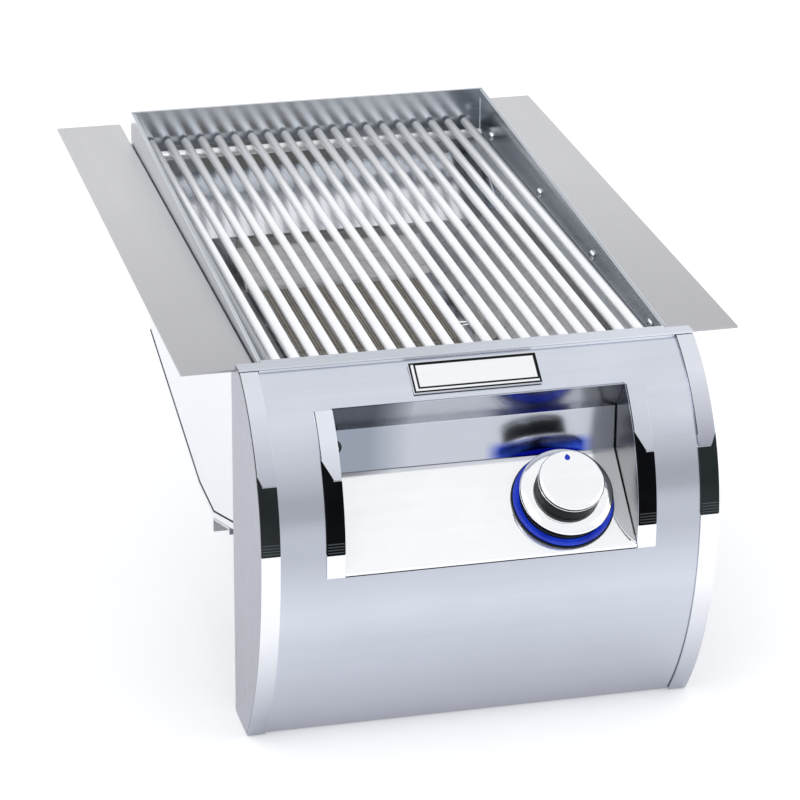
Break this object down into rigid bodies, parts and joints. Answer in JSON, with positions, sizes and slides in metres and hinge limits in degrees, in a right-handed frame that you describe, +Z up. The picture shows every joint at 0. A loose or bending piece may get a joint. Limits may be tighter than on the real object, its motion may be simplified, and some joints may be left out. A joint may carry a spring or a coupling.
{
  "type": "searing station",
  "caption": "Built-in gas searing station: rimmed burner box with counter flanges, lift-out rod grid and a curved stainless front with a lit control knob.",
  "frame": {"origin": "middle of the counter cut-out at the flanges' front edge, on the counter-top plane that the flanges rest on", "axes": "+Y to the back along the flanges, +Z up, the curved front faces -Y"},
  "size_m": [0.36, 0.5729, 0.264],
  "materials": {
    "stainless": "brushed stainless steel",
    "panel_steel": "fine brushed stainless steel",
    "polished_steel": "mirror polished stainless steel",
    "rod_steel": "ground stainless rod",
    "black_gloss": "gloss black",
    "grip_black": "satin dark grey",
    "burner_ceramic": "porous ceramic",
    "porcelain": "white porcelain",
    "brass": "machined brass",
    "blue_light": "translucent blue, lit"
  },
  "bodies": {
    "station": {"badge_plate": "polished_steel", "base_rail": "stainless", "bottom_pan": "stainless", "burner_body": "stainless", "burner_bracket_front": "stainless", "burner_bracket_rear": "stainless", "burner_frame": "polished_steel", "burner_tile_1": "burner_ceramic", "burner_tile_2": "burner_ceramic", "cheek_insert_left": "black_gloss", "cheek_insert_right": "black_gloss", "cheek_lower_left": "polished_steel", "cheek_lower_right": "polished_steel", "cheek_upper_left": "polished_steel", "cheek_upper_right": "polished_steel", "control_face": "polished_steel", "control_valve": "brass", "deflector_left": "stainless", "deflector_rear": "stainless", "deflector_right": "stainless", "flange_left": "stainless", "flange_right": "stainless", "front_bracket_left": "stainless", "front_bracket_right": "stainless", "front_panel": "panel_steel", "front_wall": "stainless", "gas_orifice": "brass", "gas_pipe": "brass", "grid_ledge_left": "stainless", "grid_ledge_right": "stainless", "igniter_box": "porcelain", "igniter_electrode": "polished_steel", "inlet_fitting": "brass", "knob_bezel": "black_gloss", "led_ring": "blue_light", "rear_wall": "stainless", "recess_hood": "panel_steel", "recess_side_left": "panel_steel", "recess_side_right": "panel_steel", "side_plate_left": "panel_steel", "side_plate_right": "panel_steel", "side_wall_left": "stainless", "side_wall_right": "stainless", "strip_insert_left": "black_gloss", "strip_insert_right": "black_gloss", "strip_lower_left": "polished_steel", "strip_lower_right": "polished_steel", "strip_upper_left": "polished_steel", "strip_upper_right": "polished_steel", "switch_housing": "black_gloss", "venturi_tube": "stainless"},
    "knob_plunger": {"valve_plunger": "brass"},
    "knob": {"knob_skirt": "polished_steel", "knob_grip": "grip_black", "knob_cap": "polished_steel", "knob_dot": "blue_light", "valve_stem": "brass"},
    "light_switch": {"switch_button": "polished_steel"},
    "grid": {"cooking_grid": "rod_steel"}
  },
  "joints": [
    {"name": "knob_push", "type": "slide", "parent": "station", "child": "knob_plunger", "axis": [0, 0.6412, -0.7674], "range_m": [0, 0.003], "stiffness_N_per_m": 1500, "springref_m": -0.004},
    {"name": "knob_turn", "type": "hinge", "parent": "knob_plunger", "child": "knob", "pos_m": [0.052, -0.04769, -0.08676], "axis": [0, -0.6412, 0.7674], "range_deg": [0, 225]},
    {"name": "switch_push", "type": "slide", "parent": "station", "child": "light_switch", "axis": [0, 1, 0], "range_m": [0, 0.002], "stiffness_N_per_m": 800, "springref_m": -0.001},
    {"name": "grid_lift", "type": "slide", "parent": "station", "child": "grid", "axis": [0, 0, 1], "range_m": [0, 0.06]}
  ]
}
